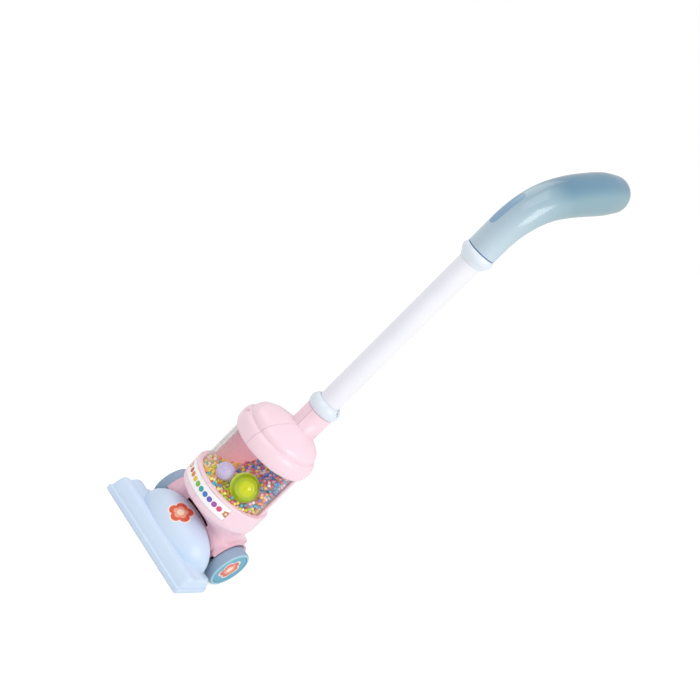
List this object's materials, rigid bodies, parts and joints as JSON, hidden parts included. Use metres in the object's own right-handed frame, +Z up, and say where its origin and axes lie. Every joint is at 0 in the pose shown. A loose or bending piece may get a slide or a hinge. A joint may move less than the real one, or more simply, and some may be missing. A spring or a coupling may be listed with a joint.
{
  "type": "toy upright vacuum cleaner",
  "caption": "Toy upright vacuum cleaner: a wide floor head on wheels carries a tilting body with a clear bead canister, a lamp and a blown-air fan, a long tube and a bent handle.",
  "frame": {"origin": "centre of the flat underside of the floor head's sole, on the floor", "axes": "+Z up along the tube, -Y the way the floor head faces, +X to the right when seen from the front"},
  "size_m": [0.133, 0.2246, 0.5505],
  "materials": {
    "pink_plastic": "glossy moulded plastic",
    "blue_plastic": "glossy moulded plastic",
    "pale_blue_plastic": "glossy moulded plastic",
    "handle_plastic": "glossy, slightly clear moulded plastic",
    "inlay_plastic": "satin strip",
    "wheel_plastic": "satin",
    "teal_disc": "satin printed disc",
    "white_plastic": "glossy",
    "label_film": "satin film",
    "dark_plastic": "satin",
    "foam_beads": "mixed pastel foam beads",
    "green_lens": "clear green moulding",
    "lilac_lens": "clear lilac moulding",
    "clear_plastic": "clear, polished",
    "steel": "zinc plated",
    "motor_can": "plated can",
    "cell_case": "wrapped cell",
    "contact_metal": "plain sheet metal"
  },
  "bodies": {
    "floor_head": {"nozzle_shell": "blue_plastic", "sole_plate": "blue_plastic", "axle": "steel", "sole_screw_1": "steel", "sole_screw_2": "steel", "sole_screw_3": "steel", "sole_screw_4": "steel"},
    "wheel_left": {"wheel_left": "wheel_plastic", "wheel_disc_left": "teal_disc"},
    "wheel_right": {"wheel_right": "wheel_plastic", "wheel_disc_right": "teal_disc"},
    "fan": {"fan": "white_plastic"},
    "switch": {"power_switch": "dark_plastic"},
    "upright": {"body_left": "pink_plastic", "body_right": "pink_plastic", "battery_door": "pink_plastic", "body_screw_neck": "steel", "body_screw_lid": "steel", "body_screw_waist": "steel", "body_screw_front": "steel", "body_screw_rear": "steel", "label_band": "label_film", "canister": "clear_plastic", "canister_floor": "white_plastic", "lamp_stem": "white_plastic", "lens_green": "green_lens", "lens_lilac": "lilac_lens", "led_green": "green_lens", "led_lilac": "lilac_lens", "bead_pile": "foam_beads", "motor": "motor_can", "battery_box": "white_plastic", "cell_low": "cell_case", "cell_high": "cell_case", "contact_right": "contact_metal", "contact_left": "contact_metal", "door_screw": "steel", "lower_collar": "pale_blue_plastic", "tube": "white_plastic", "upper_collar": "pale_blue_plastic", "handle_left": "handle_plastic", "handle_right": "handle_plastic", "grip_inlay": "inlay_plastic", "handle_screw_low": "steel", "handle_screw_high": "steel"}
  },
  "joints": [
    {"name": "body_tilt", "type": "hinge", "parent": "floor_head", "child": "upright", "pos_m": [0, 0.0526, 0.023], "axis": [-1, 0, 0], "range_deg": [0, 45]},
    {"name": "wheel_left_spin", "type": "hinge", "parent": "floor_head", "child": "wheel_left", "pos_m": [-0.0508, 0.0526, 0.023], "axis": [1, 0, 0], "continuous": true},
    {"name": "wheel_right_spin", "type": "hinge", "parent": "floor_head", "child": "wheel_right", "pos_m": [0.0508, 0.0526, 0.023], "axis": [1, 0, 0], "continuous": true},
    {"name": "fan_spin", "type": "hinge", "parent": "upright", "child": "fan", "pos_m": [0, 0.0386, 0.058], "axis": [0, 0, 1], "continuous": true},
    {"name": "switch_slide", "type": "slide", "parent": "upright", "child": "switch", "axis": [0, 1, 0], "range_m": [0, 0.004]}
  ]
}
